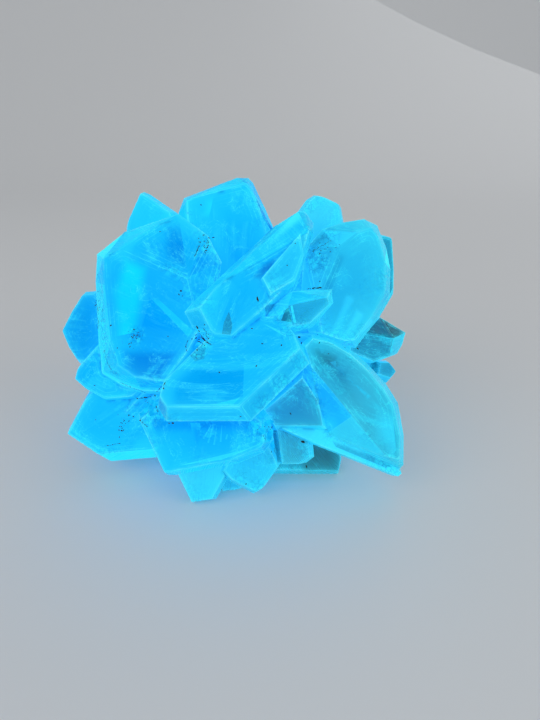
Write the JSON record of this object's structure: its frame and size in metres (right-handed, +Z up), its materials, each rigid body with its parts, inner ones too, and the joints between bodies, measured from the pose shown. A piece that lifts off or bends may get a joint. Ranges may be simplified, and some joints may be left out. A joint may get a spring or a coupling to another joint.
{
  "type": "gypsum crystal rosette",
  "caption": "Rosette of flat, bevel-edged gypsum blades grown together around one heart, glowing azure to cyan, resting free on its lower tips.",
  "frame": {"origin": "under the middle of the bounding box, on the surface the rosette rests on", "axes": "+X to the right as seen from the front, +Y away from the front, +Z up"},
  "size_m": [0.1308, 0.1078, 0.102],
  "materials": {
    "gypsum": "glassy to silky, translucent"
  },
  "bodies": {
    "root": {"gypsum_rosette": "gypsum"}
  },
  "joints": []
}
